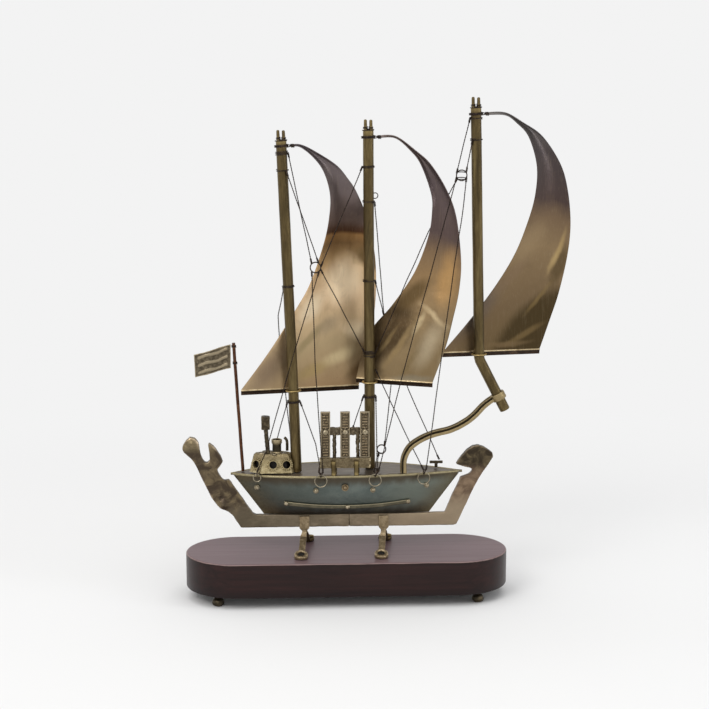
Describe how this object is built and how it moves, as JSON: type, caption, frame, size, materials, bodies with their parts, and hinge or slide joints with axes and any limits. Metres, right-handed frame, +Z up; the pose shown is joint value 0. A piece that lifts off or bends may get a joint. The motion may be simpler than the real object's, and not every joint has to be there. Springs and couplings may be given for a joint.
{
  "type": "model sailing ship on a plinth",
  "caption": "Scrap-metal model of a masted sailing ship with curved sheet sails that swivel on their masts, wire rigging and a keel held by legs on a wooden plinth.",
  "frame": {"origin": "the point of the table below the middle of the plinth", "axes": "+X from stern to bow, +Y from the near side to the far side, +Z up"},
  "size_m": [0.3364, 0.09, 0.432],
  "materials": {
    "mahogany": "dark red-brown, polished satin lacquer with worn edges",
    "dark_bronze": "dark antique brass, cast, dull",
    "hull_steel": "grey-green patinated sheet, satin",
    "pale_brass": "pale worn cast brass, satin",
    "sail_brass": "heat-toned thin sheet, dark upper part and golden middle, satin",
    "wire_steel": "blackened twisted wire",
    "aged_brass": "aged olive brass, brushed and rubbed"
  },
  "bodies": {
    "ship": {"ball_foot_bow_far": "dark_bronze", "ball_foot_bow_near": "dark_bronze", "ball_foot_stern_far": "dark_bronze", "ball_foot_stern_near": "dark_bronze", "bowsprit_bar": "aged_brass", "deck_cleat": "dark_bronze", "deck_plate": "hull_steel", "flag": "dark_bronze", "flagpole": "dark_bronze", "fore_mast": "aged_brass", "fore_shroud_ring": "wire_steel", "fore_shroud_web": "wire_steel", "funnel": "aged_brass", "hull_rosette": "pale_brass", "hull_shell": "hull_steel", "hull_stud_1": "pale_brass", "hull_stud_2": "pale_brass", "hull_stud_3": "pale_brass", "hull_stud_4": "pale_brass", "keel_bow_casting": "aged_brass", "keel_stern_casting": "aged_brass", "leg_bow_far": "aged_brass", "leg_bow_near": "aged_brass", "leg_stern_far": "aged_brass", "leg_stern_near": "aged_brass", "main_bow_stay": "wire_steel", "main_mast": "aged_brass", "main_shroud_ring": "wire_steel", "main_side_stays": "wire_steel", "main_topmast_stay": "wire_steel", "mizzen_far_stay": "wire_steel", "mizzen_mast": "aged_brass", "mizzen_shroud_ring": "wire_steel", "mizzen_shroud_web": "wire_steel", "mizzen_side_stays": "wire_steel", "plinth": "mahogany", "quarter_shroud_ring": "wire_steel", "rack_beam": "pale_brass", "rack_column_1": "dark_bronze", "rack_column_2": "dark_bronze", "rack_column_3": "dark_bronze", "rack_crossbar": "dark_bronze", "rack_stud_1": "pale_brass", "rack_stud_2": "pale_brass", "rack_stud_3": "pale_brass", "roof_hook": "dark_bronze", "signal_lever": "dark_bronze", "strake_far": "aged_brass", "strake_near": "aged_brass", "wheelhouse": "pale_brass"},
    "mizzen_sail_swivel": {"mizzen_sail": "sail_brass", "mizzen_boom_collar": "aged_brass", "mizzen_head_loop": "wire_steel"},
    "main_sail_swivel": {"main_sail": "sail_brass", "main_boom_collar": "aged_brass", "main_head_loop": "wire_steel"},
    "fore_sail_swivel": {"fore_sail": "sail_brass", "fore_boom_collar": "aged_brass", "fore_head_loop": "wire_steel"}
  },
  "joints": [
    {"name": "mizzen_sail_hinge", "type": "hinge", "parent": "ship", "child": "mizzen_sail_swivel", "pos_m": [-0.0459, -0.007, 0.181], "axis": [-0.0423, 0.0186, 0.9989], "range_deg": [-3, 10]},
    {"name": "main_sail_hinge", "type": "hinge", "parent": "ship", "child": "main_sail_swivel", "pos_m": [0.0198, 0, 0.188], "axis": [-0.0068, 0, 1], "range_deg": [-2, 4]},
    {"name": "fore_sail_hinge", "type": "hinge", "parent": "ship", "child": "fore_sail_swivel", "pos_m": [0.1143, 0, 0.208], "axis": [-0.0241, 0, 0.9997], "range_deg": [-10, 8]}
  ]
}
